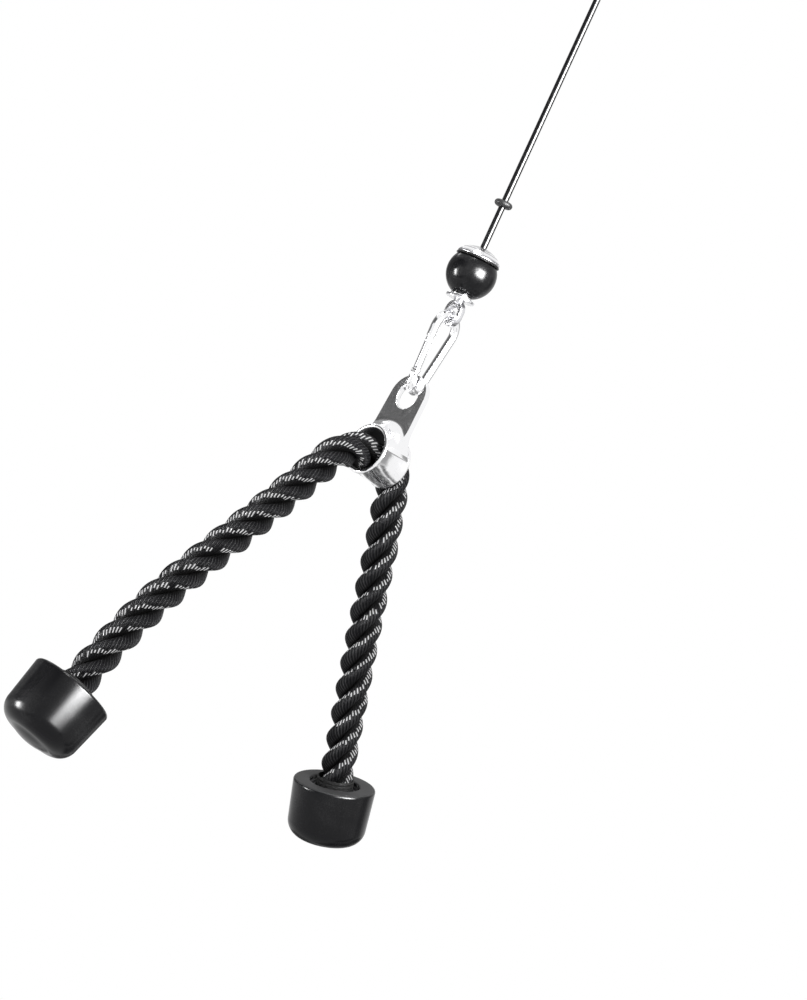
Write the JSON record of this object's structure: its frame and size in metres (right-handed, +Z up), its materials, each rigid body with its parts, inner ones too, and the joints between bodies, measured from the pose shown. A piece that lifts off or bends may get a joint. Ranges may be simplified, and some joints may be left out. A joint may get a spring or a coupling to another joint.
{
  "type": "cable pulley system",
  "caption": "Gym cable end with a looped cable, ball stop, snap hook and a tube connector that carries a pull rope with rubber stops on both ends.",
  "frame": {"origin": "crown of the upper cable loop's eye, where it bears on whatever holds the cable", "axes": "+Z up, X along the plane that the two rope legs hang in, +Y square to it"},
  "size_m": [0.35, 0.063, 0.7599],
  "materials": {
    "cable": "gloss",
    "thimble": "satin",
    "loop_ferrule": "satin",
    "collar_ring": "matte",
    "stop_bush": "polished",
    "stop_cap": "polished",
    "cap_gasket": "matte",
    "stop_ball": "gloss",
    "cable_terminal": "satin",
    "terminal_washer": "satin",
    "hook_body": "polished",
    "gate_rivet": "polished",
    "hook_gate": "polished",
    "gate_plunger": "satin",
    "gate_spring": "satin",
    "rope_connector": "polished",
    "rope_middle": "satin",
    "rope_leg_left": "satin",
    "rope_leg_right": "satin",
    "rubber_stop_left": "gloss",
    "rubber_stop_right": "gloss",
    "rope_binding_left": "satin",
    "rope_binding_right": "satin"
  },
  "bodies": {
    "cable_line": {"cable": "cable", "thimble": "thimble", "loop_ferrule": "loop_ferrule", "cable_terminal": "cable_terminal", "terminal_washer": "terminal_washer"},
    "collar": {"collar_ring": "collar_ring"},
    "stop_stack": {"stop_bush": "stop_bush", "stop_cap": "stop_cap", "cap_gasket": "cap_gasket"},
    "ball": {"stop_ball": "stop_ball"},
    "hook": {"hook_body": "hook_body", "gate_rivet": "gate_rivet"},
    "gate": {"hook_gate": "hook_gate", "gate_plunger": "gate_plunger", "gate_spring": "gate_spring"},
    "connector": {"rope_connector": "rope_connector", "rope_middle": "rope_middle"},
    "left_leg": {"rope_leg_left": "rope_leg_left", "rubber_stop_left": "rubber_stop_left", "rope_binding_left": "rope_binding_left"},
    "right_leg": {"rope_leg_right": "rope_leg_right", "rubber_stop_right": "rubber_stop_right", "rope_binding_right": "rope_binding_right"}
  },
  "joints": [
    {"name": "collar_slide", "type": "slide", "parent": "cable_line", "child": "collar", "axis": [-0.1323, 0, 0.9912], "range_m": [0, 0.12]},
    {"name": "stack_slide", "type": "slide", "parent": "cable_line", "child": "stop_stack", "axis": [-0.1323, 0, 0.9912], "range_m": [0, 0.033]},
    {"name": "ball_spin", "type": "hinge", "parent": "stop_stack", "child": "ball", "pos_m": [0.0394, 0, -0.29528], "axis": [-0.1323, 0, 0.9912], "continuous": true},
    {"name": "hook_swing", "type": "hinge", "parent": "cable_line", "child": "hook", "pos_m": [0.04387, 0, -0.32878], "axis": [0.9835, 0.1736, 0.0515], "range_deg": [-75, 75]},
    {"name": "gate_hinge", "type": "hinge", "parent": "hook", "child": "gate", "pos_m": [0.03869, -0.00138, -0.37916], "axis": [-0.1734, 0.9848, -0.0091], "range_deg": [0, 25], "stiffness_Nm_per_rad": 0.06, "springref_deg": -20.05},
    {"name": "connector_tilt", "type": "hinge", "parent": "hook", "child": "connector", "pos_m": [0.04681, 0, -0.3849], "axis": [-0.1734, 0.9848, -0.0091], "range_deg": [-15, 15]},
    {"name": "left_leg_bend", "type": "hinge", "parent": "connector", "child": "left_leg", "pos_m": [0.01546, 0, -0.46116], "axis": [0, 1, 0], "range_deg": [-24, 45], "stiffness_Nm_per_rad": 1.5, "springref_deg": 6.3},
    {"name": "right_leg_bend", "type": "hinge", "parent": "connector", "child": "right_leg", "pos_m": [0.0803, 0, -0.46227], "axis": [0, -1, 0], "range_deg": [-24, 45], "stiffness_Nm_per_rad": 1.5, "springref_deg": 6.19}
  ]
}
